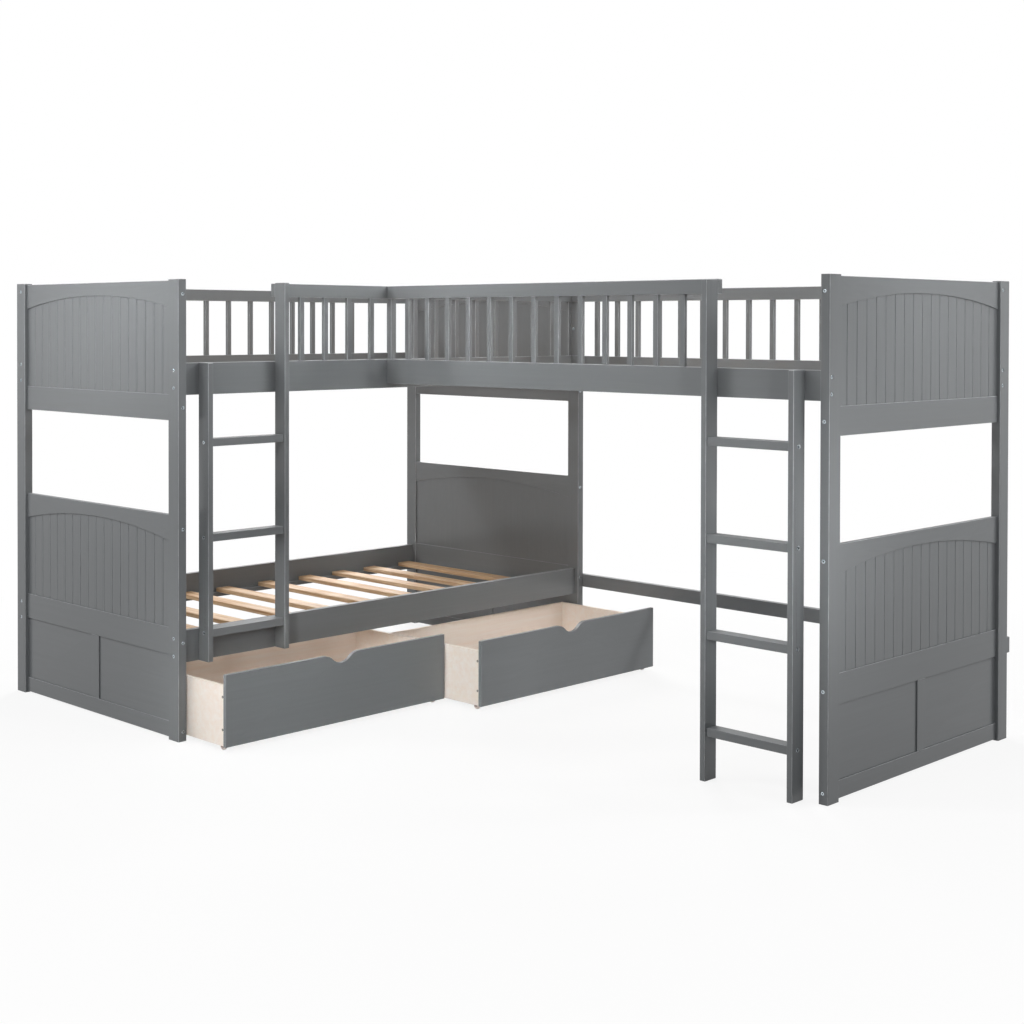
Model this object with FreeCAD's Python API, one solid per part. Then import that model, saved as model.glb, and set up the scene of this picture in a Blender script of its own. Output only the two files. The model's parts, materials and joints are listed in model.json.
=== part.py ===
import FreeCAD
import Part
import math
import os

from FreeCAD import Vector

# L-shaped bunk bed of painted wood, in millimetres. A bunk of two beds runs along Y and a loft bed
# runs along X from the bunk's front side. X points to the loft's free end, Y to the corner, Z up,
# with the origin on the floor below the middle of the whole bed.

# Overall sizes
bunk_length = 2019.0
loft_reach = 1936.0
end_width = 1086.0

# End panels: posts, frame rails and boards
post_width = 60.0
post_depth = 32.0
post_height = 1550.0
post_round = 3.0
post_rise = 4.0
arch_stock = 91.0
arch_depth = 46.0
upper_cross_height = 88.0
end_rail_thickness = 18.0
end_rail_recess = 10.0
upper_cross_drop = 475.0
lower_arch_top = 757.0
mid_rail_z = 284.0
mid_rail_height = 92.0
skirt_rail_height = 54.0
foot_rise = 5.0
muntin_width = 50.0
board_thickness = 9.0
board_count = 18
bead_width = 3.0
bead_depth = 4.0
panel_tongue = 6.0

# Side rails of the three beds
rail_thickness = 22.0
bunk_rail_recess = 19.0
bunk_rail_height = 108.0
upper_bed_drop = 389.0
lower_bed_z = 260.0
loft_rail_height = 90.0
loft_front_recess = 2.0

# Slats and the cleats below them
cleat_height = 18.0
cleat_depth = 24.0
slat_width = 66.0
slat_thickness = 17.0
slat_end_gap = 8.0
slat_row_inset = 32.0
slat_count = 10
lower_slat_shares = (0.0, 0.111, 0.222, 0.343, 0.445, 0.563, 0.682, 0.785, 0.885, 1.0)

# Guards above the two high beds
guard_drop = 7.0
guard_height = 47.0
spindle_width = 20.5
spindle_thickness = 14.0
spindle_recess = 3.0
spindle_tenon = 10.0
rear_end_gap = 13.0
rear_spindle_count = 18
bunk_stile_gap = 94.0
bunk_corner_gap = 19.0
bunk_front_spindle_count = 14
loft_stile_gap = 113.0
loft_corner_gap = 100.0
loft_front_spindle_count = 13

# Low stretcher behind the loft
stretcher_z = 288.0
stretcher_height = 54.0
stretcher_thickness = 20.0
stretcher_end_gap = 2.0

# Ladders
stile_width = 20.0
stile_depth = 58.0
stile_rise = 2.0
loft_stile_drop = 2.5
ladder_clear = 300.0
rung_height = 26.0
rung_depth = 46.0
bunk_ladder_offset = 61.0
bunk_rung_z = 343.0
bunk_top_rung_drop = 174.0
bunk_rung_count = 3
loft_ladder_offset = 54.0
loft_rung_z = 139.0
loft_top_rung_drop = 147.5
loft_rung_count = 4

# Drawers on wheels
drawer_front_height = 238.0
drawer_front_thickness = 14.0
drawer_front_z = 17.0
drawer_gap = 4.0
drawer_end_gap = 34.0
drawer_depth = 500.0
drawer_post_gap = 4.0
drawer_stop_gap = 1.0
drawer_wall = 12.0
drawer_wall_z = 18.0
drawer_wall_height = 200.0
drawer_bottom_z = 36.0
drawer_bottom_thickness = 6.0
drawer_bottom_tongue = 5.0
left_drawer_pull = 207.0
right_drawer_pull = 398.0
notch_width = 156.0
notch_depth = 31.0
notch_shoulder_share = 0.5

# Fixed casters under the drawers
wheel_radius = 14.0
wheel_width = 10.0
axle_radius = 2.5
axle_clearance = 0.05
axle_sides = 6
cheek_gap = 0.5
cheek_thickness = 2.0
cheek_top = 24.0
cheek_foot = 11.0
cheek_drop = 5.0
caster_plate_length = 32.0
caster_plate_thickness = 3.0

# Heads of the connecting bolts, sunk in seats
bolt_sides = 6
bolt_head_radius = 6.6
bolt_head_height = 3.0
bolt_seat_gap = 0.8
bolt_seat_depth = 4.0
bunk_bolt_pitch = 60.0
loft_bolt_pitch = 51.0
guard_bolt_drop = 12.0

# One overrun for every cut that goes past a face
overrun = 1.0

# Places worked out from the sizes above
overall_length = end_width + loft_reach
overall_depth = bunk_length + stretcher_thickness
x_rear = -overall_length / 2
x_front = x_rear + end_width
x_right = x_front + loft_reach
y_left = -overall_depth / 2
y_corner = y_left + bunk_length
y_loft = y_corner - end_width
y_bed_start = y_left + post_depth
y_bed_end = y_corner - post_depth
x_face = x_front - bunk_rail_recess
x_back = x_rear + bunk_rail_recess
y_loft_face = y_loft + loft_front_recess
y_loft_back = y_bed_end
x_loft_end = x_right - post_depth
upper_cross_z = post_height - upper_cross_drop
upper_bed_z = post_height - upper_bed_drop
high_rail_top = upper_bed_z + bunk_rail_height
loft_bed_z = high_rail_top - loft_rail_height
guard_top = post_height - guard_drop
guard_z = guard_top - guard_height
bunk_stile_top = guard_top + stile_rise
loft_stile_top = guard_top - loft_stile_drop
y_short_stile = y_bed_start + bunk_ladder_offset
y_tall_stile = y_short_stile + stile_width + ladder_clear
x_short_stile = x_loft_end - loft_ladder_offset - stile_width
x_tall_stile = x_short_stile - ladder_clear - stile_width
rung_inset = (stile_depth - rung_depth) / 2
bunk_top_rung_z = upper_bed_z - bunk_top_rung_drop
loft_top_rung_z = loft_bed_z - loft_top_rung_drop
drawer_front_width = (bunk_length - 2 * drawer_end_gap - drawer_gap) / 2
left_drawer_y = y_left + drawer_end_gap
right_drawer_y = left_drawer_y + drawer_front_width + drawer_gap
fork_width = wheel_width + 2 * (cheek_gap + cheek_thickness)
frame_plane = end_rail_recess + end_rail_thickness / 2

X_AXIS = Vector(1, 0, 0)
Y_AXIS = Vector(0, 1, 0)
Z_AXIS = Vector(0, 0, 1)

# Node name to its list of separate solids, and every connecting bolt as the point on the wood's
# face where it goes in and its direction
nodes = {}
bolts = []


def box(x_span, y_span, z_span):
    """A block between the two values of each span."""
    size = Vector(x_span[1] - x_span[0], y_span[1] - y_span[0], z_span[1] - z_span[0])
    return Part.makeBox(size.x, size.y, size.z, Vector(x_span[0], y_span[0], z_span[0]))


def span(start, size):
    return (start, start + size)


def around(middle, size):
    return (middle - size / 2, middle + size / 2)


def evenly(first, last, count):
    return [first + (last - first) * index / (count - 1) for index in range(count)]


def prism(points, y_span, arc_points=()):
    """An upright outline in the XZ plane, pushed from one Y to the other.

    points go round the outline as (x, z); arc_points maps the index of a point to the (x, z)
    that its stretch to the next point passes through on a circle.
    """
    through = dict(arc_points)
    corners = [Vector(x, y_span[0], z) for x, z in points]
    edges = []
    for index, corner in enumerate(corners):
        following = corners[(index + 1) % len(corners)]
        if index in through:
            x, z = through[index]
            edges.append(Part.Arc(corner, Vector(x, y_span[0], z), following).toShape())
        else:
            edges.append(Part.LineSegment(corner, following).toShape())
    face = Part.Face(Part.Wire(edges))
    return face.extrude(Vector(0, y_span[1] - y_span[0], 0))


def cut_away(solid, tools):
    """The solid without the tools that come near it."""
    near = [tool for tool in tools if solid.BoundBox.intersect(tool.BoundBox)]
    return solid.cut(near) if near else solid


def facet_prism(sides, radius, point, direction, length, start_share=0.5):
    """A bar with a few even sides along a direction; radius is to its corners, and start_share
    turns the first corner by that share of a step."""
    across = Z_AXIS * radius
    corners = []
    for index in range(sides):
        turn = FreeCAD.Rotation(direction, 360 * (index + start_share) / sides)
        corners.append(point + turn.multVec(across))
    section = Part.Face(Part.makePolygon(corners + corners[:1]))
    return section.extrude(direction * length)


def upright_edges(solid):
    """The straight vertical edges of a solid."""
    return [edge for edge in solid.Edges
            if math.isclose(edge.BoundBox.ZLength, solid.BoundBox.ZLength)]


# End panels

def end_post(x_start):
    post = box(span(x_start, post_width), (0, post_depth), (0, post_height))
    return post.makeFillet(post_round, upright_edges(post))


def cross_rail(z_start, height):
    return box((post_width, end_width - post_width), span(end_rail_recess, end_rail_thickness),
               span(z_start, height))


def arch_rail(top):
    """A rail whose lower edge is cut to a shallow arch between the posts."""
    left, right = post_width, end_width - post_width
    bottom = top - arch_stock
    outline = [(left, bottom), (right, bottom), (right, top), (left, top)]
    crown = (end_width / 2, bottom + arch_depth)
    return prism(outline, span(end_rail_recess, end_rail_thickness), {0: crown})


def beadboard(bottom, arch_top):
    """A board that fills the space below an arched rail, plain as it sits in its grooves."""
    left, right = post_width, end_width - post_width
    low = bottom - panel_tongue
    shoulder = arch_top - arch_stock + panel_tongue
    outline = [(left - panel_tongue, low), (right + panel_tongue, low),
               (right + panel_tongue, shoulder), (right, shoulder),
               (left, shoulder), (left - panel_tongue, shoulder)]
    crown = (end_width / 2, shoulder + arch_depth)
    return prism(outline, around(frame_plane, board_thickness), {3: crown})


def bead_grooves(board):
    """V grooves down the outer face, between strips of even width."""
    pitch = (end_width - 2 * post_width) / board_count
    face = frame_plane - board_thickness / 2
    z_span = (board.BoundBox.ZMin - overrun, board.BoundBox.ZMax + overrun)
    grooves = []
    for index in range(1, board_count):
        middle = post_width + pitch * index
        corners = [Vector(middle - bead_width / 2, face, z_span[0]),
                   Vector(middle, face + bead_depth, z_span[0]),
                   Vector(middle + bead_width / 2, face, z_span[0])]
        section = Part.Face(Part.makePolygon(corners + corners[:1]))
        grooves.append(section.extrude(Vector(0, 0, z_span[1] - z_span[0])))
    return grooves


def skirt_panel(x_span):
    widened = (x_span[0] - panel_tongue, x_span[1] + panel_tongue)
    heights = (foot_rise + skirt_rail_height - panel_tongue, mid_rail_z + panel_tongue)
    return box(widened, around(frame_plane, board_thickness), heights)


def end_panel():
    """One end panel, X across it and Y inward from the posts' outer faces."""
    top_rail_top = post_height - post_rise
    skirt_top = foot_rise + skirt_rail_height
    muntin_span = around(end_width / 2, muntin_width)
    boards = [beadboard(upper_cross_z + upper_cross_height, top_rail_top),
              beadboard(mid_rail_z + mid_rail_height, lower_arch_top)]
    skirts = [skirt_panel((post_width, muntin_span[0])),
              skirt_panel((muntin_span[1], end_width - post_width))]
    posts = [end_post(0), end_post(end_width - post_width)]
    arches = [arch_rail(top_rail_top), arch_rail(lower_arch_top)]
    crosses = [cross_rail(upper_cross_z, upper_cross_height),
               cross_rail(mid_rail_z, mid_rail_height),
               cross_rail(foot_rise, skirt_rail_height)]
    muntin = box(muntin_span, span(end_rail_recess, end_rail_thickness), (skirt_top, mid_rail_z))
    held = boards + skirts
    return {
        "first_post": [cut_away(posts[0], held)],
        "second_post": [cut_away(posts[1], held)],
        "arch_rails": [cut_away(rail, held) for rail in arches],
        "cross_rails": [cut_away(rail, held) for rail in crosses],
        "skirt_muntin": [cut_away(muntin, held)],
        "beadboards": [board.cut(bead_grooves(board)) for board in boards],
        "skirt_panels": skirts,
    }


def end_rail_heights():
    """Middle heights of the five rails that are bolted between the posts."""
    return (post_height - post_rise - arch_stock / 2, upper_cross_z + upper_cross_height / 2,
            lower_arch_top - arch_stock / 2, mid_rail_z + mid_rail_height / 2,
            foot_rise + skirt_rail_height / 2)


def place_end(prefix, angle, corner, first_name, second_name):
    """Turns an end panel about Z, moves its first post to the corner and adds its bolts."""
    turn = FreeCAD.Rotation(Z_AXIS, angle)
    move = FreeCAD.Placement(corner, turn)
    names = {"first_post": first_name, "second_post": second_name}
    for key, solids in end_panel().items():
        placed = [solid.transformed(move.toMatrix()) for solid in solids]
        nodes[prefix + "_" + names.get(key, key)] = placed
    for height in end_rail_heights():
        first = Vector(0, frame_plane, height)
        second = Vector(end_width, frame_plane, height)
        bolts.append((move.multVec(first), turn.multVec(X_AXIS)))
        bolts.append((move.multVec(second), turn.multVec(-X_AXIS)))


def build_ends():
    place_end("left_end", 0, Vector(x_rear, y_left, 0), "rear_post", "front_post")
    place_end("corner_end", 180, Vector(x_front, y_corner, 0), "front_post", "rear_post")
    place_end("right_end", 90, Vector(x_right, y_loft, 0), "front_post", "rear_post")


# Guards

def spindles_along(axis, places, outer_face, inward):
    """Flat spindles that stand on a side rail, with a tenon at the top, set in from its outer face."""
    depths = sorted((outer_face + inward * spindle_recess,
                     outer_face + inward * (spindle_recess + spindle_thickness)))
    heights = (high_rail_top, guard_z + spindle_tenon)
    row = []
    for place in places:
        run = around(place, spindle_width)
        spans = (run, depths) if axis == "x" else (depths, run)
        row.append(box(*spans, heights))
    return row


def build_guards():
    """The four rows of spindles and the rails on top of them."""
    half = spindle_width / 2
    near_post = rear_end_gap + half
    rear_y = evenly(y_bed_start + near_post, y_bed_end - near_post, rear_spindle_count)
    front_y = evenly(y_tall_stile + stile_width + bunk_stile_gap + half,
                     y_bed_end - bunk_corner_gap - half, bunk_front_spindle_count)
    rear_x = evenly(x_face + near_post, x_loft_end - near_post, rear_spindle_count)
    front_x = evenly(x_face + loft_corner_gap + half, x_tall_stile - loft_stile_gap - half,
                     loft_front_spindle_count)
    rows = {
        "bunk_rear_spindles": spindles_along("y", rear_y, x_back, 1),
        "bunk_front_spindles": spindles_along("y", front_y, x_face, -1),
        "loft_rear_spindles": spindles_along("x", rear_x, y_loft_back, -1),
        "loft_front_spindles": spindles_along("x", [x_face + half] + front_x, y_loft_face, 1),
    }
    nodes.update(rows)
    spindles = sum(rows.values(), [])
    heights = span(guard_z, guard_height)
    guards = {
        "bunk_rear_guard_rail": box(span(x_back, rail_thickness), (y_bed_start, y_bed_end), heights),
        "bunk_front_guard_rail": box((x_face - rail_thickness, x_face),
                                     (y_tall_stile, y_bed_end), heights),
        "loft_rear_guard_rail": box((x_face, x_loft_end),
                                    (y_loft_back - rail_thickness, y_loft_back), heights),
        "loft_front_guard_rail": box((x_face, x_tall_stile + stile_width),
                                     span(y_loft_face, rail_thickness), heights),
    }
    for name, rail in guards.items():
        nodes[name] = [cut_away(rail, spindles)]


# Side rails, cleats and slats

def build_beds():
    front_span = (x_face - rail_thickness, x_face)
    rear_span = span(x_back, rail_thickness)
    bed_run = (y_bed_start, y_bed_end)
    slat_span = (rear_span[1] + slat_end_gap, front_span[0] - slat_end_gap)
    cleats = []
    for bed, base in (("lower", lower_bed_z), ("upper", upper_bed_z)):
        heights = span(base, bunk_rail_height)
        for side, thick in (("front", front_span), ("rear", rear_span)):
            nodes["bunk_" + bed + "_" + side + "_rail"] = [box(thick, bed_run, heights)]
        cleat_heights = span(base, cleat_height)
        cleats.append(box(span(rear_span[1], cleat_depth), bed_run, cleat_heights))
        cleats.append(box((front_span[0] - cleat_depth, front_span[0]), bed_run, cleat_heights))
        first = y_bed_start + slat_row_inset + slat_width / 2
        last = y_bed_end - slat_row_inset - slat_width / 2
        places = evenly(first, last, slat_count)
        if bed == "lower":
            places = [first + (last - first) * share for share in lower_slat_shares]
        slat_heights = span(base + cleat_height, slat_thickness)
        nodes["bunk_" + bed + "_slats"] = [box(slat_span, around(place, slat_width), slat_heights)
                                           for place in places]
    loft_run = (x_face, x_loft_end)
    loft_front = span(y_loft_face, rail_thickness)
    loft_rear = (y_loft_back - rail_thickness, y_loft_back)
    loft_heights = span(loft_bed_z, loft_rail_height)
    nodes["loft_front_rail"] = [box(loft_run, loft_front, loft_heights)]
    nodes["loft_rear_rail"] = [box(loft_run, loft_rear, loft_heights)]
    loft_cleat_heights = span(loft_bed_z, cleat_height)
    cleats.append(box(loft_run, span(loft_front[1], cleat_depth), loft_cleat_heights))
    cleats.append(box(loft_run, (loft_rear[0] - cleat_depth, loft_rear[0]), loft_cleat_heights))
    nodes["slat_cleats"] = cleats
    first = x_face + slat_row_inset + slat_width / 2
    last = x_loft_end - slat_row_inset - slat_width / 2
    loft_slat_span = (loft_front[1] + slat_end_gap, loft_rear[0] - slat_end_gap)
    slat_heights = span(loft_bed_z + cleat_height, slat_thickness)
    nodes["loft_slats"] = [box(around(place, slat_width), loft_slat_span, slat_heights)
                           for place in evenly(first, last, slat_count)]


def build_stretcher():
    nodes["loft_stretcher"] = [box((x_front - post_width, x_right - stretcher_end_gap),
                                   span(y_corner, stretcher_thickness),
                                   span(stretcher_z, stretcher_height))]


# Ladders

def build_ladders():
    bunk_depth = span(x_face, stile_depth)
    short_y = span(y_short_stile, stile_width)
    tall_y = span(y_tall_stile, stile_width)
    nodes["bunk_ladder_short_stile"] = [box(bunk_depth, short_y, (lower_bed_z, high_rail_top))]
    nodes["bunk_ladder_tall_stile"] = [box(bunk_depth, tall_y, (lower_bed_z, bunk_stile_top))]
    bunk_rungs = []
    for height in evenly(bunk_rung_z, bunk_top_rung_z, bunk_rung_count):
        bunk_rungs.append(box(span(x_face + rung_inset, rung_depth), (short_y[1], tall_y[0]),
                              span(height, rung_height)))
        middle = Vector(x_face + stile_depth / 2, short_y[0], height + rung_height / 2)
        bolts.append((middle, Y_AXIS))
        bolts.append((middle + Vector(0, tall_y[1] - short_y[0], 0), -Y_AXIS))
    nodes["bunk_ladder_rungs"] = bunk_rungs
    loft_depth = (y_loft_face - stile_depth, y_loft_face)
    short_x = span(x_short_stile, stile_width)
    tall_x = span(x_tall_stile, stile_width)
    nodes["loft_ladder_short_stile"] = [box(short_x, loft_depth, (0, high_rail_top))]
    nodes["loft_ladder_tall_stile"] = [box(tall_x, loft_depth, (0, loft_stile_top))]
    loft_rungs = []
    for height in evenly(loft_rung_z, loft_top_rung_z, loft_rung_count):
        loft_rungs.append(box((tall_x[1], short_x[0]), span(loft_depth[0] + rung_inset, rung_depth),
                              span(height, rung_height)))
        middle = Vector(tall_x[0], y_loft_face - stile_depth / 2, height + rung_height / 2)
        bolts.append((middle, X_AXIS))
        bolts.append((middle + Vector(short_x[1] - tall_x[0], 0, 0), -X_AXIS))
    nodes["loft_ladder_rungs"] = loft_rungs


# Connecting bolts

def add_post_bolts():
    """Bolts through the posts into the ends of the side rails and guard rails, and one in the
    corner's front post, in the opening of the guard."""
    half_rail = rail_thickness / 2
    guard_middle = guard_z + guard_height / 2
    for x in (x_back + half_rail, x_face - half_rail):
        for base in (lower_bed_z, upper_bed_z):
            for height in around(base + bunk_rail_height / 2, bunk_bolt_pitch):
                bolts.append((Vector(x, y_left, height), Y_AXIS))
                bolts.append((Vector(x, y_corner, height), -Y_AXIS))
        bolts.append((Vector(x, y_corner, guard_middle), -Y_AXIS))
    bolts.append((Vector(x_back + half_rail, y_left, guard_middle), Y_AXIS))
    for y in (y_loft_face + half_rail, y_loft_back - half_rail):
        for height in around(loft_bed_z + loft_rail_height / 2, loft_bolt_pitch):
            bolts.append((Vector(x_right, y, height), -X_AXIS))
    bolts.append((Vector(x_right, y_loft_back - half_rail, guard_middle), -X_AXIS))
    bolts.append((Vector(x_front - post_width / 2, y_bed_end, (high_rail_top + guard_z) / 2), Y_AXIS))


def add_rail_bolts():
    """Bolts through the rails' inner faces into the loft's rails and the ladders, and the
    stretcher's bolts."""
    half_rail = rail_thickness / 2
    half_stile = stile_width / 2
    guard_low = guard_z + guard_height / 2 - guard_bolt_drop
    loft_middle = loft_bed_z + loft_rail_height / 2
    inner_x = x_face - rail_thickness
    inner_y = y_loft_face + rail_thickness
    for y in (y_loft_face + half_rail, y_loft_back - half_rail):
        for height in (loft_middle, guard_low):
            bolts.append((Vector(inner_x, y, height), X_AXIS))
    for y in (y_short_stile + half_stile, y_tall_stile + half_stile):
        for base in (lower_bed_z, upper_bed_z):
            height = base + bunk_rail_height / 2
            bolts.append((Vector(inner_x, y, height), X_AXIS))
    bolts.append((Vector(inner_x, y_tall_stile + half_stile, guard_low), X_AXIS))
    for x in (x_short_stile + half_stile, x_tall_stile + half_stile):
        bolts.append((Vector(x, inner_y, loft_middle), -Y_AXIS))
    bolts.append((Vector(x_tall_stile + half_stile, inner_y, guard_low), -Y_AXIS))
    back = y_corner + stretcher_thickness
    for x in (x_front - post_width / 2, x_right - post_depth / 2):
        bolts.append((Vector(x, back, stretcher_z + stretcher_height / 2), -Y_AXIS))


def build_bolts():
    """Sinks a seat in the wood at each bolt and sets the bolt's head on the floor of the seat."""
    add_post_bolts()
    add_rail_bolts()
    seat_radius = bolt_head_radius + bolt_seat_gap
    seats = [facet_prism(bolt_sides, seat_radius, point, direction, bolt_seat_depth)
             for point, direction in bolts]
    for name, solids in nodes.items():
        nodes[name] = [cut_away(solid, seats) for solid in solids]
    cover = bolt_seat_depth - bolt_head_height
    nodes["frame_bolts"] = [facet_prism(bolt_sides, bolt_head_radius, point + direction * cover,
                                        direction, bolt_head_height) for point, direction in bolts]


# Drawers

def drawer_front(x_face_out, y_middle):
    """A front whose top edge dips in a smooth wave for the fingers."""
    bottom, top = span(drawer_front_z, drawer_front_height)
    half, dip = drawer_front_width / 2, notch_width / 2
    radii = (dip ** 2 + notch_depth ** 2) / (2 * notch_depth)
    shoulder = radii * notch_shoulder_share
    lean = math.asin(dip / radii)
    bend = Vector(dip - shoulder * math.sin(lean), 0, top - shoulder * (1 - math.cos(lean)))
    crest = Vector(dip - shoulder * math.sin(lean / 2), 0, top - shoulder * (1 - math.cos(lean / 2)))
    outline = [(-half, bottom), (half, bottom), (half, top), (dip, top), (bend.x, bend.z),
               (-bend.x, bend.z), (-dip, top), (-half, top)]
    arcs = {3: (crest.x, crest.z), 4: (0, top - notch_depth), 5: (-crest.x, crest.z)}
    board = prism(outline, (0, drawer_front_thickness), arcs)
    turn = FreeCAD.Placement(Vector(x_face_out, y_middle, 0), FreeCAD.Rotation(Z_AXIS, 90))
    return board.transformed(turn.toMatrix())


def caster_bracket(x_axle, y_start):
    """A fixed fork under the drawer's bottom: a plate, two tapered cheeks and the wheel's pin."""
    under = drawer_bottom_z - caster_plate_thickness
    bracket = box(around(x_axle, caster_plate_length), span(y_start, fork_width),
                  span(under, caster_plate_thickness))
    foot, top = around(x_axle, cheek_foot), around(x_axle, cheek_top)
    low = wheel_radius - cheek_drop
    outline = [(foot[0], low), (foot[1], low), (top[1], under), (top[0], under)]
    for offset in (0, fork_width - cheek_thickness):
        bracket = bracket.fuse(prism(outline, span(y_start + offset, cheek_thickness)))
    pin = facet_prism(axle_sides, axle_radius, Vector(x_axle, y_start, wheel_radius), Y_AXIS, fork_width)
    return bracket.fuse(pin).removeSplitter()


def caster_wheel(x_axle, y_start):
    """A wheel with a bore that clears the corners of the bracket's pin."""
    middle = Vector(x_axle, y_start, wheel_radius)
    tread = Part.makeCylinder(wheel_radius, wheel_width, middle, Y_AXIS)
    bore_radius = (axle_radius + axle_clearance) / math.cos(math.pi / axle_sides)
    return tread.cut(facet_prism(axle_sides, bore_radius, middle, Y_AXIS, wheel_width, 0))


def build_drawer(prefix, y_start, pull):
    """One drawer pulled out along X: front, box, bottom, brackets and a pair of wheels at each end."""
    x_out = x_front + drawer_stop_gap + drawer_front_thickness + pull
    y_middle = y_start + drawer_front_width / 2
    nodes[prefix + "_front"] = [drawer_front(x_out, y_middle)]
    box_inset = post_depth + drawer_post_gap - drawer_end_gap
    x_box = x_out - drawer_front_thickness
    x_end = x_out - drawer_depth
    y_box = (y_start + box_inset, y_start + drawer_front_width - box_inset)
    heights = span(drawer_wall_z, drawer_wall_height)
    inner_x = (x_end + drawer_wall, x_box - drawer_wall)
    inner_y = (y_box[0] + drawer_wall, y_box[1] - drawer_wall)
    bottom = box((inner_x[0] - drawer_bottom_tongue, inner_x[1] + drawer_bottom_tongue),
                 (inner_y[0] - drawer_bottom_tongue, inner_y[1] + drawer_bottom_tongue),
                 span(drawer_bottom_z, drawer_bottom_thickness))
    walls = [box((x_end, x_box), (y_box[0], inner_y[0]), heights),
             box((x_end, x_box), (inner_y[1], y_box[1]), heights),
             box((x_end, inner_x[0]), inner_y, heights),
             box((inner_x[1], x_box), inner_y, heights)]
    nodes[prefix + "_box_walls"] = [wall.cut(bottom) for wall in walls]
    nodes[prefix + "_bottom"] = [bottom]
    half_plate = caster_plate_length / 2
    brackets = []
    for end, x_axle in (("front", inner_x[1] - half_plate), ("back", inner_x[0] + half_plate)):
        wheels = []
        for y_fork in (inner_y[0], inner_y[1] - fork_width):
            brackets.append(caster_bracket(x_axle, y_fork))
            wheels.append(caster_wheel(x_axle, y_fork + cheek_thickness + cheek_gap))
        nodes[prefix + "_" + end + "_wheels"] = wheels
    nodes[prefix + "_caster_brackets"] = brackets


build_ends()
build_guards()
build_beds()
build_stretcher()
build_ladders()
build_bolts()
build_drawer("left_drawer", left_drawer_y, left_drawer_pull)
build_drawer("right_drawer", right_drawer_y, right_drawer_pull)

os.makedirs("parts", exist_ok=True)
for node, solids in nodes.items():
    pieces = [piece for solid in solids for piece in solid.Solids]
    shape = pieces[0] if len(pieces) == 1 else Part.Compound(pieces)
    shape.exportStep("parts/" + node + ".step")
print(len(nodes), "nodes,", sum(len(solids) for solids in nodes.values()), "solids")
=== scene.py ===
import json
import math

import bmesh
import bpy
from mathutils import Matrix, Vector
from mathutils.bvhtree import BVHTree


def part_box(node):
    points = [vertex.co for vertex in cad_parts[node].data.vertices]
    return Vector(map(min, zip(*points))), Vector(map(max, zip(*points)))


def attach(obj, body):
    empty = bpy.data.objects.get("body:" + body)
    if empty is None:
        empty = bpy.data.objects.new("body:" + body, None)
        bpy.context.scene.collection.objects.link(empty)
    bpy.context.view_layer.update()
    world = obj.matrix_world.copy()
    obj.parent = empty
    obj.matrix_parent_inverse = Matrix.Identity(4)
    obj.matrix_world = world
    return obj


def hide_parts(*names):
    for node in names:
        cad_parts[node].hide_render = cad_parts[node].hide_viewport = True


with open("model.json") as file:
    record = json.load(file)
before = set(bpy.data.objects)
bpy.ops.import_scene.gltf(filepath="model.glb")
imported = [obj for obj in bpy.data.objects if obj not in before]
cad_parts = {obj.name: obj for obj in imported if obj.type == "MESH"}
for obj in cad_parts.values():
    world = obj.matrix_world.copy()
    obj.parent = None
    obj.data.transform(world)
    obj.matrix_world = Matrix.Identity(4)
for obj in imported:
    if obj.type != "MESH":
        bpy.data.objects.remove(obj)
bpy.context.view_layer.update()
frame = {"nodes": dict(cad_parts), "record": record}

nodes = frame["nodes"]


def linear(red, green, blue):
    """A colour written as it looks on screen, from 0 to 255, as the linear colour of shaders."""
    def channel(value):
        value /= 255
        return value / 12.92 if value <= 0.04045 else ((value + 0.055) / 1.055) ** 2.4
    return (channel(red), channel(green), channel(blue), 1.0)


# Camera, found from the photograph's edges: pixels of a 1024 frame, metres and degrees
photo_pixels = 1024
focal_pixels = 1595.5
centre_pixels = (513.45, 345.73)
camera_place = Vector((4.0982, -4.0307, 1.4021))
camera_yaw = math.radians(44.48)
camera_pitch = math.radians(-0.78)
camera_roll = math.radians(0.12)
sensor_width = 36.0

# Edge rounding of the pieces, in metres, by the end of a node's name; the first that fits counts
edge_rounding = {
    "_post": 0.0012,
    "_arch_rails": 0.0016,
    "_cross_rails": 0.0016,
    "_beadboards": 0.0004,
    "_skirt_panels": 0.0006,
    "_skirt_muntin": 0.0012,
    "_guard_rail": 0.0026,
    "_rail": 0.0012,
    "_stretcher": 0.0024,
    "_spindles": 0.0022,
    "_stile": 0.0045,
    "_rungs": 0.0030,
    "_slats": 0.0026,
    "_cleats": 0.0010,
    "_drawer_front": 0.0026,
    "_box_walls": 0.0010,
    "_bottom": 0.0006,
    "_caster_brackets": 0.0003,
}
rounding_steps = 3
rounding_angle = math.radians(35)
flat_face_weight = 100
same_corner_distance = 1e-5

# Bolt and screw heads; the wood under a bolt is looked for within some heights of its head
head_sides = 24
socket_sides = 6
bolt_socket_share = 0.45
bolt_socket_depth_share = 0.85
bolt_rim_share = 0.14
rim_curve_share = 0.3
wood_search_heights = 20
screw_radius = 0.0042
screw_height = 0.0012
screw_setback = 0.007
screw_sink_share = 0.3
screw_height_shares = (0.27, 0.81)

# Caster wheels: hub, dished side and tread rounding, as shares of the wheel
wheel_steps = 48
hub_share = 0.40
axle_hole_share = 0.5
dish_share = 0.72
dish_depth_share = 0.16
dish_slope_share = 0.4
tread_round_share = 0.12
tread_curve_share = 0.3

# Wood fibres: the shift from board to board, and the noise of streaks and fibres
wood_refraction = 1.45
board_shift = 57.0
streak_detail = 3.0
streak_roughness = 0.55
streak_waver = 0.4
fibre_detail = 2.0
fibre_roughness = 0.6

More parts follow.
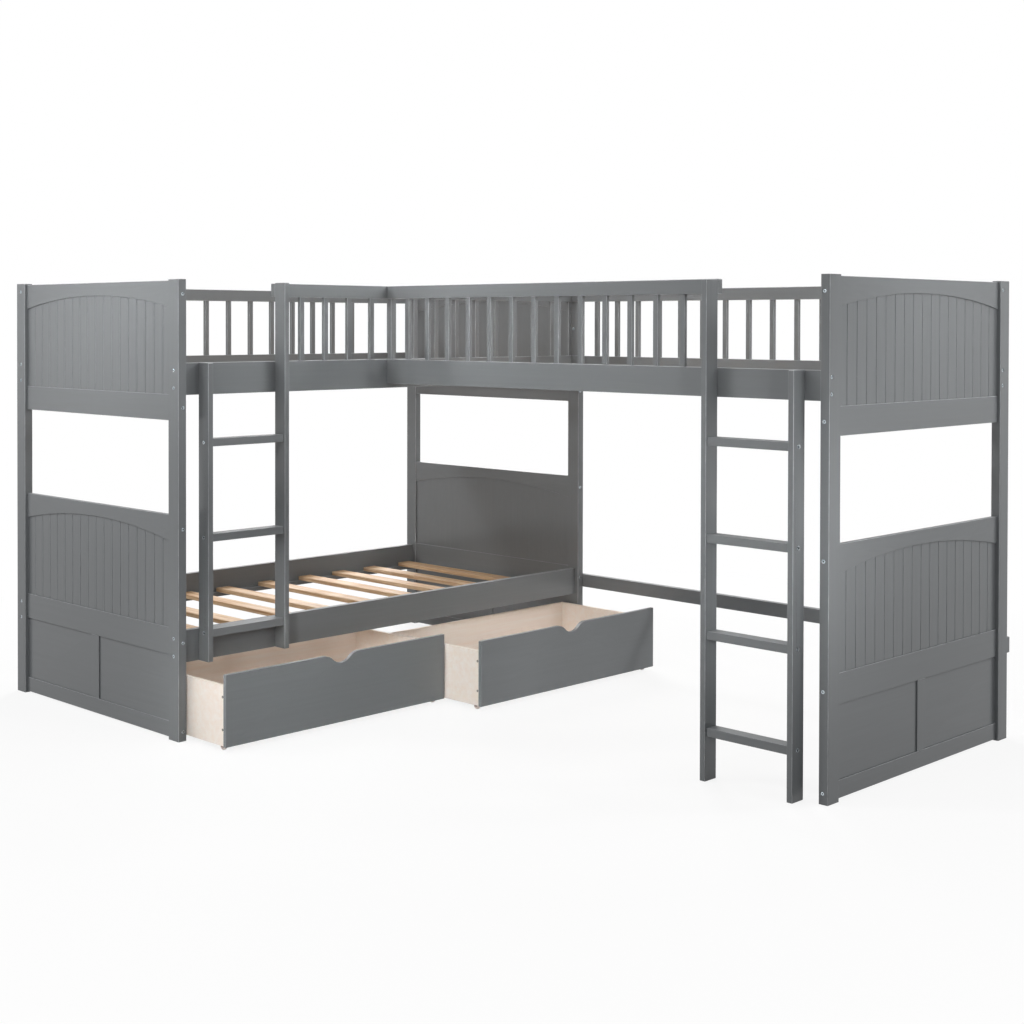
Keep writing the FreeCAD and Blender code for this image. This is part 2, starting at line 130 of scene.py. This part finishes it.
# Rounded edges, which take a painted highlight, and upward faces: the turn at which a face counts,
# and the patches that break it
highlight_samples = 4
highlight_turn = (0.75, 0.99)
highlight_patches = 45.0
highlight_least_share = 0.35
lean_turn = (0.80, 0.96)
lean_patches = 30.0
lean_least_share = 0.6
upward_turn = (0.6, 0.95)
patch_detail = 3.0
patch_span = (0.35, 0.65)

# Noise: detail of the film's clouds and peel, and the span in which most of a noise lies
cloud_detail = 4.0
peel_detail = 1.0
noise_span = (0.3, 0.7)

# Grey paint; fibres are per metre along and across, relief is strength and depth in metres
paint_gloss_level = 0.4
paint_fibres = (1.6, 70.0)
paint_fineness = 5.0
paint_film = {"Cloud size": 5.0, "Peel size": 600.0}
paint_tone = linear(124, 127, 129)
paint_streak_tone = linear(127, 130, 132)
# The pale edge tone is a painted highlight along the rounded edges
paint_highlight_tone = linear(204, 207, 209)
paint_board_share = 0.35
paint_highlight_share = 0.7
paint_roughness = (0.20, 0.27)
paint_dust_roughness = 0.35
paint_relief = (0.03, 0.0004)

# Bare pine of the slats
pine_fibres = (0.9, 22.0)
pine_fineness = 14.0
pine_film = {"Cloud size": 9.0, "Peel size": 900.0}
pine_rings = 11.0
pine_late_span = (0.45, 1.0)
pine_pale_tone = linear(232, 203, 168)
pine_warm_tone = linear(214, 176, 134)
pine_ring_tone = linear(186, 137, 92)
pine_fibre_tone = linear(176, 128, 86)
# The pale edge tone is a painted highlight on the slats' rounded edges
pine_highlight_tone = linear(236, 214, 184)
pine_ring_share = 0.75
pine_fibre_share = 0.35
pine_fibre_span = (0.4, 0.75)
pine_highlight_share = 0.3
pine_roughness = (0.55, 0.72)
pine_relief = (0.25, 0.0006)

# Pale boards of the drawer boxes
drawer_fibres = (2.0, 60.0)
drawer_fineness = 8.0
drawer_film = {"Cloud size": 7.0, "Peel size": 800.0}
drawer_tone = linear(250, 242, 233)
drawer_streak_tone = linear(247, 233, 220)
drawer_fibre_tone = linear(232, 209, 190)
drawer_edge_tone = linear(222, 200, 178)
drawer_fibre_share = 0.2
drawer_fibre_span = (0.45, 0.8)
drawer_edge_share = 0.25
drawer_roughness = (0.48, 0.62)
drawer_relief = (0.15, 0.0004)

# Small fittings: bolts, screws and casters
fitting_film = {"Cloud size": 180.0, "Peel size": 2500.0}
# Reach and share of the painted highlight on the fittings' edges
fitting_highlight_reach = 0.0008
fitting_highlight_share = 0.5
fitting_relief = (0.08, 0.0002)

# Floor and backdrop
white = (1.0, 1.0, 1.0, 1.0)
ambient_strength = 0.02
floor_reach = 40.0
floor_drop = 0.0005
floor_tone = 0.45
floor_shown_tone = 1.0
floor_shadow_share = 0.14
floor_fade = (1.9, 3.4)

# Studio lamps: place, the point that it faces, side in metres, power in watts, and the angle of
# its light in degrees; a narrow lamp falls on the pieces that its name gives
open_angle = 180
studio_lamps = {
    "left_key_box": ((-4.4, -4.9, 4.9), (-0.6, -0.4, 1.0), 1.0, 140, open_angle),
    "right_key_box": ((4.4, 3.9, 4.7), (0.4, 0.2, 1.0), 1.0, 90, open_angle),
    "right_near_box": ((2.4, 2.2, 3.1), (0.4, 0.2, 1.0), 1.0, 16, open_angle),
    "front_box": ((1.2, -3.0, 3.2), (-0.2, -0.2, 1.0), 2.0, 40, open_angle),
    "right_front_box": ((4.2, 0.4, 2.6), (0.2, 0.2, 1.1), 1.0, 28, open_angle),
    "top_box": ((0.2, -0.2, 4.4), (0.0, 0.0, 1.0), 2.5, 33, open_angle),
    "left_end_box": ((-0.9, -2.6, 2.6), (-0.9, -1.0, 1.3), 1.5, 15, open_angle),
    "left_end_top_box": ((-0.95, -3.5, 1.3), (-0.97, -1.02, 1.58), 0.6, 1.5, 40),
    "right_end_top_box": ((4.0, 0.5, 2.4), (1.51, 0.5, 1.5), 0.6, 1.3, 40),
    "loft_ladder_box": ((3.4, -1.2, 1.0), (1.08, -0.11, 0.75), 0.5, 1.2, 30),
    "bunk_guard_box": ((3.4, 1.6, 3.2), (-0.43, -0.5, 1.46), 0.4, 0.85, 20),
    "loft_guard_box": ((-2.4, -4.4, 3.6), (0.15, -0.07, 1.46), 0.4, 1.2, 20),
    "loft_spindle_box": ((-0.05, -3.6, 0.9), (-0.05, -0.07, 1.42), 0.4, 0.2, 16),
    "bunk_spindle_box": ((4.4, -1.6, 1.0), (-0.2, -0.2, 1.42), 0.4, 0.25, 16),
    "drawer_front_box": ((1.5, -3.2, 1.2), (-0.2, -0.6, 0.14), 0.5, 0.7, 24),
    "left_drawer_box": ((-0.1, -4.2, 0.9), (-0.31, -0.96, 0.16), 0.4, 0.09, 12),
    "right_drawer_box": ((0.25, -3.4, 0.9), (-0.11, 0.03, 0.15), 0.4, 0.24, 16),
    "back_box": ((-4.2, 3.6, 3.2), (-0.4, 0.2, 1.0), 2.5, 270, open_angle),
}


# Shader helpers

def add(tree, kind, values=None, **settings):
    """A shader node with its settings and its inputs' values; a value that is a socket is linked."""
    made = tree.nodes.new(kind)
    for key, value in settings.items():
        setattr(made, key, value)
    for key, value in (values or {}).items():
        if isinstance(value, bpy.types.NodeSocket):
            tree.links.new(value, made.inputs[key])
        else:
            made.inputs[key].default_value = value
    return made


def reckoned(tree, operation, first, second):
    """A number worked out from two others."""
    return add(tree, "ShaderNodeMath", {0: first, 1: second}, operation=operation).outputs[0]


def blended(tree, share, first, second):
    """The colour that goes from first to second as share goes from 0 to 1."""
    mix = add(tree, "ShaderNodeMix", {0: share, 6: first, 7: second}, data_type="RGBA")
    return mix.outputs[2]


def remapped(tree, value, low, high, start=0.0, end=1.0):
    """Value, which runs from start to end, as a number from low to high."""
    values = {"Value": value, "From Min": start, "From Max": end, "To Min": low, "To Max": high}
    return add(tree, "ShaderNodeMapRange", values).outputs["Result"]


def surface_noise(tree, scale, detail):
    """Noise over a piece's own surface."""
    place = add(tree, "ShaderNodeTexCoord").outputs["Object"]
    values = {"Vector": place, "Scale": scale, "Detail": detail}
    return add(tree, "ShaderNodeTexNoise", values).outputs["Fac"]


def broken_up(tree, mask, patches, least_share):
    """A mask with patches in which only a share of it is left."""
    noise = surface_noise(tree, patches, patch_detail)
    left = remapped(tree, noise, least_share, 1.0, *patch_span)
    return reckoned(tree, "MULTIPLY", mask, left)


def new_group(name, inputs, outputs):
    """An empty shader node group with the kinds of its named inputs and outputs."""
    tree = bpy.data.node_groups.new(name, "ShaderNodeTree")
    for way, sockets in (("INPUT", inputs), ("OUTPUT", outputs)):
        for label, kind in sockets.items():
            tree.interface.new_socket(label, in_out=way, socket_type=kind)
    return tree, tree.nodes.new("NodeGroupInput"), tree.nodes.new("NodeGroupOutput")


def wood_fibre_group():
    """Streaks and fine fibres along a board, and a number that differs from board to board."""
    tree, entry, result = new_group(
        "wood_fibres",
        {"Fibres": "NodeSocketVector", "Fineness": "NodeSocketFloat"},
        {"Streak": "NodeSocketFloat", "Fibre": "NodeSocketFloat", "Board": "NodeSocketFloat"},
    )
    place = add(tree, "ShaderNodeTexCoord").outputs["Object"]
    board = add(tree, "ShaderNodeNewGeometry").outputs["Random Per Island"]
    offset = reckoned(tree, "MULTIPLY", board, board_shift)
    moved = add(tree, "ShaderNodeVectorMath", {0: place, 1: offset}, operation="ADD").outputs[0]
    along = add(
        tree, "ShaderNodeVectorMath",
        {0: moved, 1: entry.outputs["Fibres"]}, operation="MULTIPLY",
    ).outputs[0]
    streak = add(tree, "ShaderNodeTexNoise", {
        "Vector": along, "Scale": 1.0, "Detail": streak_detail,
        "Roughness": streak_roughness, "Distortion": streak_waver,
    })
    finer = add(
        tree, "ShaderNodeVectorMath",
        {0: along, 3: entry.outputs["Fineness"]}, operation="SCALE",
    ).outputs[0]
    fibre = add(tree, "ShaderNodeTexNoise", {
        "Vector": finer, "Scale": 1.0, "Detail": fibre_detail, "Roughness": fibre_roughness,
    })
    tree.links.new(streak.outputs["Fac"], result.inputs["Streak"])
    tree.links.new(fibre.outputs["Fac"], result.inputs["Fibre"])
    tree.links.new(board, result.inputs["Board"])
    return tree


def painted_edge_highlight_group():
    """A mask of a small part's edges, broken up in patches, where a painted highlight goes."""
    tree, entry, result = new_group(
        "painted_edge_highlight", {"Reach": "NodeSocketFloat"}, {"Edge": "NodeSocketFloat"},
    )
    rounded = add(tree, "ShaderNodeBevel", {"Radius": entry.outputs["Reach"]}, samples=highlight_samples)
    flat = add(tree, "ShaderNodeNewGeometry").outputs["Normal"]
    agreement = add(
        tree, "ShaderNodeVectorMath",
        {0: rounded.outputs["Normal"], 1: flat}, operation="DOT_PRODUCT",
    ).outputs["Value"]
    edge = remapped(tree, agreement, 1.0, 0.0, *highlight_turn)
    patchy_edge_mask = broken_up(tree, edge, highlight_patches, highlight_least_share)
    tree.links.new(patchy_edge_mask, result.inputs["Edge"])
    return tree


def uneven_sheen_group():
    """Cloudy patches of more and less gloss, and the fine peel of a sprayed or rolled film."""
    tree, entry, result = new_group(
        "uneven_sheen",
        {"Cloud size": "NodeSocketFloat", "Peel size": "NodeSocketFloat"},
        {"Cloud": "NodeSocketFloat", "Peel": "NodeSocketFloat"},
    )
    for label, detail in (("Cloud", cloud_detail), ("Peel", peel_detail)):
        noise = surface_noise(tree, entry.outputs[label + " size"], detail)
        tree.links.new(noise, result.inputs[label])
    return tree


def board_face_group():
    """Masks of a board's rounded edges, broken up in patches, and of its upward faces; the edge mask
    puts a painted highlight on paint and pine and a darker tone on the drawer boards.
    """
    tree, _, result = new_group(
        "board_faces", {}, {"Edge": "NodeSocketFloat", "Upward": "NodeSocketFloat"},
    )
    normal = add(tree, "ShaderNodeNewGeometry").outputs["Normal"]
    turned = add(
        tree, "ShaderNodeVectorTransform", {"Vector": normal},
        vector_type="NORMAL", convert_from="WORLD", convert_to="OBJECT",
    ).outputs[0]
    sizes = add(tree, "ShaderNodeVectorMath", {0: turned}, operation="ABSOLUTE").outputs[0]
    parts = add(tree, "ShaderNodeSeparateXYZ", {0: sizes}).outputs
    most = reckoned(tree, "MAXIMUM", reckoned(tree, "MAXIMUM", parts[0], parts[1]), parts[2])
    lean = remapped(tree, most, 1.0, 0.0, *lean_turn)
    patchy_edge_mask = broken_up(tree, lean, lean_patches, lean_least_share)
    tree.links.new(patchy_edge_mask, result.inputs["Edge"])
    upright = add(tree, "ShaderNodeSeparateXYZ", {0: turned}).outputs[2]
    tree.links.new(remapped(tree, upright, 0.0, 1.0, *upward_turn), result.inputs["Upward"])
    return tree


wood_fibres = wood_fibre_group()
painted_edge_highlight = painted_edge_highlight_group()
uneven_sheen = uneven_sheen_group()
board_faces = board_face_group()


# Finishes

def new_material(name, **settings):
    """A material with its Principled shader, whose plain values are set on the shader's sockets."""
    material = bpy.data.materials.new(name)
    material.use_nodes = True
    shader = material.node_tree.nodes["Principled BSDF"]
    for key, value in settings.items():
        shader.inputs[key.replace("_", " ")].default_value = value
    return material, material.node_tree, shader


def place_group(tree, group, values=None):
    """A shared group placed in a material with its own values."""
    return add(tree, "ShaderNodeGroup", values, node_tree=group).outputs


def place_fibres(tree, axis, fibres, fineness):
    """Fibres of wood that runs along one axis; fibres are per metre along and across."""
    along, across = fibres
    per_metre = tuple(along if direction == axis else across for direction in "XYZ")
    return place_group(tree, wood_fibres, {"Fibres": per_metre, "Fineness": fineness})


def bump(tree, shader, height, strength, depth):
    """Relief of the surface from a height that runs from 0 to 1; depth is in metres."""
    values = {"Height": height, "Strength": strength, "Distance": depth}
    relief = add(tree, "ShaderNodeBump", values)
    tree.links.new(relief.outputs["Normal"], shader.inputs["Normal"])


def grey_paint(axis):
    """Satin grey paint through which the grain shows a little, with a painted highlight along its
    rounded edges.
    """
    material, tree, shader = new_material(
        "grey_paint_" + axis.lower(), IOR=wood_refraction, Specular_IOR_Level=paint_gloss_level,
    )
    grain = place_fibres(tree, axis, paint_fibres, paint_fineness)
    film = place_group(tree, uneven_sheen, paint_film)
    faces = place_group(tree, board_faces)
    streak = remapped(tree, grain["Streak"], 0.0, 1.0, *noise_span)
    coat = blended(tree, streak, paint_tone, paint_streak_tone)
    own = remapped(tree, grain["Board"], 0.0, paint_board_share)
    board = blended(tree, own, coat, paint_tone)
    # Painted highlight: rounded edges are lightened toward a pale grey
    edge = remapped(tree, faces["Edge"], 0.0, paint_highlight_share)
    edge_highlighted = blended(tree, edge, board, paint_highlight_tone)
    tree.links.new(edge_highlighted, shader.inputs["Base Color"])
    gloss = remapped(tree, film["Cloud"], *paint_roughness, *noise_span)
    dust = remapped(tree, faces["Upward"], 0.0, paint_dust_roughness)
    tree.links.new(reckoned(tree, "ADD", gloss, dust), shader.inputs["Roughness"])
    skin = reckoned(tree, "ADD", film["Peel"], grain["Fibre"])
    bump(tree, shader, skin, *paint_relief)
    return material


def pine(axis):
    """Bare planed pine: pale wood with darker rings and fibres, a tone for each slat, and a painted
    highlight on its rounded edges.
    """
    material, tree, shader = new_material("pine_" + axis.lower(), IOR=wood_refraction)
    grain = place_fibres(tree, axis, pine_fibres, pine_fineness)
    edge = place_group(tree, board_faces)["Edge"]
    film = place_group(tree, uneven_sheen, pine_film)
    rings = reckoned(tree, "MULTIPLY", grain["Streak"], pine_rings)
    band = reckoned(tree, "PINGPONG", rings, 1.0)
    late = remapped(tree, band, 0.0, 1.0, *pine_late_span)
    pale = blended(tree, grain["Board"], pine_pale_tone, pine_warm_tone)
    ringed = blended(tree, remapped(tree, late, 0.0, pine_ring_share), pale, pine_ring_tone)
    fibre = remapped(tree, grain["Fibre"], 0.0, pine_fibre_share, *pine_fibre_span)
    fibred = blended(tree, fibre, ringed, pine_fibre_tone)
    # Painted highlight: rounded edges are lightened toward a paler pine
    eased = blended(tree, remapped(tree, edge, 0.0, pine_highlight_share), fibred, pine_highlight_tone)
    tree.links.new(eased, shader.inputs["Base Color"])
    gloss = remapped(tree, film["Cloud"], *pine_roughness, *noise_span)
    tree.links.new(gloss, shader.inputs["Roughness"])
    bump(tree, shader, grain["Fibre"], *pine_relief)
    return material


def drawer_wood():
    """Pale lacquered boards of the drawer boxes, with a faint straight grain."""
    material, tree, shader = new_material("drawer_wood", IOR=wood_refraction)
    grain = place_fibres(tree, "Y", drawer_fibres, drawer_fineness)
    edge = place_group(tree, board_faces)["Edge"]
    film = place_group(tree, uneven_sheen, drawer_film)
    streak = remapped(tree, grain["Streak"], 0.0, 1.0, *noise_span)
    board = blended(tree, streak, drawer_tone, drawer_streak_tone)
    fibre = remapped(tree, grain["Fibre"], 0.0, drawer_fibre_share, *drawer_fibre_span)
    fibred = blended(tree, fibre, board, drawer_fibre_tone)
    eased = blended(tree, remapped(tree, edge, 0.0, drawer_edge_share), fibred, drawer_edge_tone)
    tree.links.new(eased, shader.inputs["Base Color"])
    gloss = remapped(tree, film["Cloud"], *drawer_roughness, *noise_span)
    tree.links.new(gloss, shader.inputs["Roughness"])
    bump(tree, shader, grain["Fibre"], *drawer_relief)
    return material


def fitting_finish(name, dark, pale, roughness, metallic):
    """Plated or moulded small parts: cloudy tone and gloss, with a painted highlight on their edges.
    """
    material, tree, shader = new_material(name, Metallic=metallic)
    film = place_group(tree, uneven_sheen, fitting_film)
    edge = place_group(tree, painted_edge_highlight, {"Reach": fitting_highlight_reach})["Edge"]
    tone = blended(tree, remapped(tree, film["Cloud"], 0.0, 1.0, *noise_span), dark, pale)
    # Painted highlight: edges are lightened toward the pale tone
    edge_highlighted = blended(tree, remapped(tree, edge, 0.0, fitting_highlight_share), tone, pale)
    tree.links.new(edge_highlighted, shader.inputs["Base Color"])
    gloss = remapped(tree, film["Cloud"], *roughness, *noise_span)
    tree.links.new(gloss, shader.inputs["Roughness"])
    bump(tree, shader, film["Peel"], *fitting_relief)
    return material


paint = {axis: grey_paint(axis) for axis in "XYZ"}
pine_boards = {axis: pine(axis) for axis in "XY"}
drawer_boards = drawer_wood()
zinc = fitting_finish(
    "zinc_bolts", dark=linear(176, 186, 192), pale=linear(222, 231, 236),
    roughness=(0.20, 0.34), metallic=1.0,
)
# Painted shade: the dark finish put inside the bolt and screw sockets
painted_socket_shade = fitting_finish(
    "painted_socket_shade", dark=linear(38, 39, 41), pale=linear(60, 61, 63),
    roughness=(0.5, 0.7), metallic=0.0,
)
screw_steel = fitting_finish(
    "drawer_screws", dark=linear(70, 66, 63), pale=linear(104, 98, 94),
    roughness=(0.4, 0.55), metallic=1.0,
)
bracket_plastic = fitting_finish(
    "caster_bracket", dark=linear(140, 116, 106), pale=linear(160, 136, 126),
    roughness=(0.45, 0.6), metallic=0.0,
)
wheel_nylon = fitting_finish(
    "caster_wheel", dark=linear(222, 208, 200), pale=linear(236, 224, 217),
    roughness=(0.4, 0.55), metallic=0.0,
)


def finish_of(name):
    """The material of a CAD node: by what the piece is and by the way its wood runs."""
    if name.endswith("_slats"):
        return pine_boards["Y" if name.startswith("loft") else "X"]
    if name.endswith(("_box_walls", "_bottom")):
        return drawer_boards
    if name.endswith("_caster_brackets"):
        return bracket_plastic
    if name.endswith(("_post", "_stile", "_spindles", "_beadboards", "_muntin")):
        return paint["Z"]
    if name.startswith(("left_end", "corner_end", "loft")):
        return paint["X"]
    return paint["Y"]


def soften_edges(piece, width):
    """Rounds a piece's edges and keeps its flats flat, without a change to the CAD mesh itself."""
    weld = piece.modifiers.new("joined_corners", "WELD")
    weld.merge_threshold = same_corner_distance
    bevel = piece.modifiers.new("eased_edges", "BEVEL")
    bevel.width = width
    bevel.segments = rounding_steps
    bevel.limit_method = "ANGLE"
    bevel.angle_limit = rounding_angle
    bevel.use_clamp_overlap = True
    bevel.miter_outer = "MITER_ARC"
    normals = piece.modifiers.new("flat_faces", "WEIGHTED_NORMAL")
    normals.weight = flat_face_weight
    normals.keep_sharp = False


def dress_cad_nodes():
    """Gives each CAD node its finish and its eased edges."""
    for name, piece in nodes.items():
        piece.data.materials.clear()
        piece.data.materials.append(finish_of(name))
        for ending, width in edge_rounding.items():
            if name.endswith(ending):
                soften_edges(piece, width)
                break


# New pieces

def new_piece(name, mesh, materials, body):
    """A finished piece with the given materials, that rides on a body."""
    data = bpy.data.meshes.new(name)
    mesh.to_mesh(data)
    mesh.free()
    for material in materials:
        data.materials.append(material)
    piece = bpy.data.objects.new(name, data)
    bpy.context.scene.collection.objects.link(piece)
    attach(piece, body)
    return piece


def solid_boxes(name):
    """Lowest and highest corner of each separate solid of a CAD node."""
    mesh = bmesh.new()
    mesh.from_mesh(nodes[name].data)
    bmesh.ops.remove_doubles(mesh, verts=mesh.verts, dist=same_corner_distance)
    unseen = set(mesh.verts)
    boxes = []
    while unseen:
        island = [unseen.pop()]
        for vertex in island:
            for edge in vertex.link_edges:
                other = edge.other_vert(vertex)
                if other in unseen:
                    unseen.remove(other)
                    island.append(other)
        places = [vertex.co for vertex in island]
        low = Vector([min(place[axis] for place in places) for axis in range(3)])
        high = Vector([max(place[axis] for place in places) for axis in range(3)])
        boxes.append((low, high))
    mesh.free()
    return sorted(boxes, key=lambda pair: tuple(pair[0]))


def facing(direction):
    """The turn that takes +Z to a direction."""
    return direction.to_track_quat("Z", "Y").to_matrix().to_4x4()


def socket_head(mesh, foot, direction, radius, height):
    """A round head with an eased rim and a hexagon socket painted dark as shade; foot is the middle
    of its seat.
    """
    rim = radius * bolt_rim_share
    curve = rim * rim_curve_share
    socket = radius * bolt_socket_share
    depth = height * bolt_socket_depth_share
    step = 2 * math.pi / head_sides
    flat = 2 * math.pi / socket_sides
    turn = Matrix.Translation(foot) @ facing(direction)

    def ring(reach, level, hexagon=False):
        made = []
        for index in range(head_sides):
            angle = index * step
            share = math.cos(flat / 2) / math.cos(angle % flat - flat / 2) if hexagon else 1.0
            across = reach * share
            place = Vector((across * math.cos(angle), across * math.sin(angle), level))
            made.append(mesh.verts.new(turn @ place))
        return made

    rings = [
        ring(radius, 0.0),
        ring(radius, height - rim),
        ring(radius - curve, height - curve),
        ring(radius - rim, height),
        ring(socket, height, hexagon=True),
        ring(socket, height - depth, hexagon=True),
    ]
    # The socket's walls and floor take the second material, a painted shade
    for level, (outer, inner) in enumerate(zip(rings, rings[1:])):
        for index in range(head_sides):
            after = (index + 1) % head_sides
            wall = mesh.faces.new((outer[index], outer[after], inner[after], inner[index]))
            wall.material_index = int(level == len(rings) - 2)
    mesh.faces.new(rings[-1]).material_index = 1
    mesh.faces.new(reversed(rings[0]))


def wood_tree():
    """All wooden faces of the bed, for finding on which side of a bolt head the wood is."""
    corners = []
    faces = []
    for name in frame["record"]["behaviour"]["bodies"]["bed_frame"]:
        if name == "frame_bolts":
            continue
        start = len(corners)
        data = nodes[name].data
        corners.extend(vertex.co.copy() for vertex in data.vertices)
        faces.extend([start + index for index in face.vertices] for face in data.polygons)
    return BVHTree.FromPolygons(corners, faces)


def bolt_heads():
    """Zinc socket heads in place of the plain CAD ones, each on the floor of its own seat."""
    wood = wood_tree()
    mesh = bmesh.new()
    for low, high in solid_boxes("frame_bolts"):
        size = high - low
        axis = min(range(3), key=lambda index: size[index])
        height = size[axis]
        middle = (low + high) / 2
        direction = Vector([float(index == axis) for index in range(3)])
        reach = {}
        for way in (direction, -direction):
            hit = wood.ray_cast(middle, way, height * wood_search_heights)
            reach[way.freeze()] = hit[3] if hit[3] is not None else math.inf
        inward = min(reach, key=reach.get)
        radius = sorted(size)[1] / 2
        socket_head(mesh, middle + inward * (height / 2), -inward, radius, height)
    piece = new_piece("bolt_heads", mesh, (zinc, painted_socket_shade), "bed_frame")
    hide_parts("frame_bolts")


def drawer_screws(drawer):
    """Screw heads in the side boards, over the ends of the inner front and the back."""
    low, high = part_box(drawer + "_box_walls")
    sink = screw_height * screw_sink_share
    mesh = bmesh.new()
    for side, direction in ((low.y, Vector((0, -1, 0))), (high.y, Vector((0, 1, 0)))):
        for run in (low.x + screw_setback, high.x - screw_setback):
            for share in screw_height_shares:
                place = Vector((run, side, low.z + (high.z - low.z) * share))
                foot = place - direction * sink
                socket_head(mesh, foot, direction, screw_radius, screw_height)
    new_piece(drawer + "_screws", mesh, (screw_steel, painted_socket_shade), drawer)


def turned_wheel(mesh, middle, radius, width):
    """One wheel: a hub, a dished side and a rounded tread, turned about Y."""
    half = width / 2
    edge = radius * tread_round_share
    slope = edge * dish_slope_share
    curve = edge * tread_curve_share
    floor = half - width * dish_depth_share
    hub = radius * hub_share
    outer = radius * dish_share
    side = [
        (hub * axle_hole_share, half),
        (hub, half),
        (hub + slope, floor),
        (outer - slope, floor),
        (outer, half),
        (radius - edge, half),
        (radius - curve, half - curve),
        (radius, half - edge),
    ]
    profile = side + [(reach, -level) for reach, level in reversed(side)]
    rings = []
    for index in range(wheel_steps):
        angle = 2 * math.pi * index / wheel_steps
        across, up = math.cos(angle), math.sin(angle)
        rings.append([
            mesh.verts.new(middle + Vector((reach * across, level, reach * up)))
            for reach, level in profile
        ])
    count = len(profile)
    for index, ring in enumerate(rings):
        after = rings[(index + 1) % wheel_steps]
        for point in range(count):
            further = (point + 1) % count
            mesh.faces.new((ring[point], ring[further], after[further], after[point]))


def caster_wheels(node):
    """The two wheels of one end of a drawer, in place of the plain CAD ones."""
    mesh = bmesh.new()
    for low, high in solid_boxes(node):
        turned_wheel(mesh, (low + high) / 2, (high.z - low.z) / 2, high.y - low.y)
    bmesh.ops.recalc_face_normals(mesh, faces=mesh.faces)
    piece = new_piece(node + "_turned", mesh, (wheel_nylon,), node)
    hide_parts(node)


def build_pieces():
    """The bolt heads of the frame, and the screw heads and wheels of both drawers."""
    bolt_heads()
    for drawer in ("left_drawer", "right_drawer"):
        drawer_screws(drawer)
        for end in ("front", "back"):
            caster_wheels(drawer + "_" + end + "_wheels")


# Floor, light and camera

def seen_directly(tree):
    """1 where the camera, a reflection or glass shows the backdrop, 0 for its light on the bed."""
    path = add(tree, "ShaderNodeLightPath").outputs
    shown = reckoned(tree, "MAXIMUM", path["Is Camera Ray"], path["Is Glossy Ray"])
    return reckoned(tree, "MAXIMUM", shown, path["Is Transmission Ray"])


def lay_floor():
    """A plain pale floor that keeps the bed's shadow and fades to white away from it."""
    mesh = bmesh.new()
    bmesh.ops.create_grid(mesh, x_segments=1, y_segments=1, size=floor_reach / 2)
    data = bpy.data.meshes.new("studio_floor")
    mesh.to_mesh(data)
    mesh.free()
    floor = bpy.data.objects.new("studio_floor", data)
    floor.location.z = -floor_drop
    bpy.context.scene.collection.objects.link(floor)
    material = bpy.data.materials.new("studio_floor")
    material.use_nodes = True
    tree = material.node_tree
    tree.nodes.clear()
    shown = seen_directly(tree)
    tone = remapped(tree, shown, floor_tone, floor_shown_tone)
    matt = add(tree, "ShaderNodeBsdfDiffuse", {"Color": tone}).outputs[0]
    glow = add(tree, "ShaderNodeEmission", {"Color": white, "Strength": 1.0}).outputs[0]
    place = add(tree, "ShaderNodeTexCoord").outputs["Object"]
    reach = add(tree, "ShaderNodeVectorMath", {0: place}, operation="LENGTH").outputs["Value"]
    fade = remapped(tree, reach, 1.0 - floor_shadow_share, 1.0, *floor_fade)
    share = reckoned(tree, "MULTIPLY", shown, fade)
    both = add(tree, "ShaderNodeMixShader", {0: share, 1: matt, 2: glow}).outputs[0]
    add(tree, "ShaderNodeOutputMaterial", {"Surface": both})
    data.materials.append(material)


def light_world():
    """A white backdrop that lights the bed only faintly."""
    world = bpy.data.worlds.new("studio")
    bpy.context.scene.world = world
    world.use_nodes = True
    tree = world.node_tree
    tree.nodes.clear()
    strength = remapped(tree, seen_directly(tree), ambient_strength, 1.0)
    glow = add(tree, "ShaderNodeBackground", {"Color": white, "Strength": strength})
    add(tree, "ShaderNodeOutputWorld", {"Surface": glow.outputs[0]})


def soft_box(name, place, target, size, power, spread):
    """A square studio lamp that faces a point; spread is the angle of its light, in degrees."""
    lamp = bpy.data.lights.new(name, "AREA")
    lamp.shape = "SQUARE"
    lamp.size = size
    lamp.energy = power
    lamp.spread = math.radians(spread)
    holder = bpy.data.objects.new(name, lamp)
    aim = Vector(target) - Vector(place)
    holder.matrix_world = Matrix.Translation(place) @ facing(-aim.normalized())
    bpy.context.scene.collection.objects.link(holder)


def light_studio():
    """The backdrop's light and all lamps."""
    light_world()
    for name, lamp in studio_lamps.items():
        soft_box(name, *lamp)


def set_camera():
    """The photograph's own camera."""
    data = bpy.data.cameras.new("photo_camera")
    data.sensor_width = sensor_width
    data.lens = focal_pixels * sensor_width / photo_pixels
    data.shift_x = 0.5 - centre_pixels[0] / photo_pixels
    data.shift_y = centre_pixels[1] / photo_pixels - 0.5
    data.clip_end = floor_reach * 2
    forward = Vector((
        -math.sin(camera_yaw) * math.cos(camera_pitch),
        math.cos(camera_yaw) * math.cos(camera_pitch),
        math.sin(camera_pitch),
    ))
    level = Vector((math.cos(camera_yaw), math.sin(camera_yaw), 0.0))
    upright = level.cross(forward)
    right = level * math.cos(camera_roll) + upright * math.sin(camera_roll)
    up = upright * math.cos(camera_roll) - level * math.sin(camera_roll)
    turn = Matrix((right, up, -forward)).transposed().to_4x4()
    camera = bpy.data.objects.new("photo_camera", data)
    camera.matrix_world = Matrix.Translation(camera_place) @ turn
    bpy.context.scene.collection.objects.link(camera)
    bpy.context.scene.camera = camera


dress_cad_nodes()
build_pieces()
lay_floor()
light_studio()
set_camera()
bpy.context.scene.view_settings.view_transform = "Standard"

bpy.context.view_layer.update()
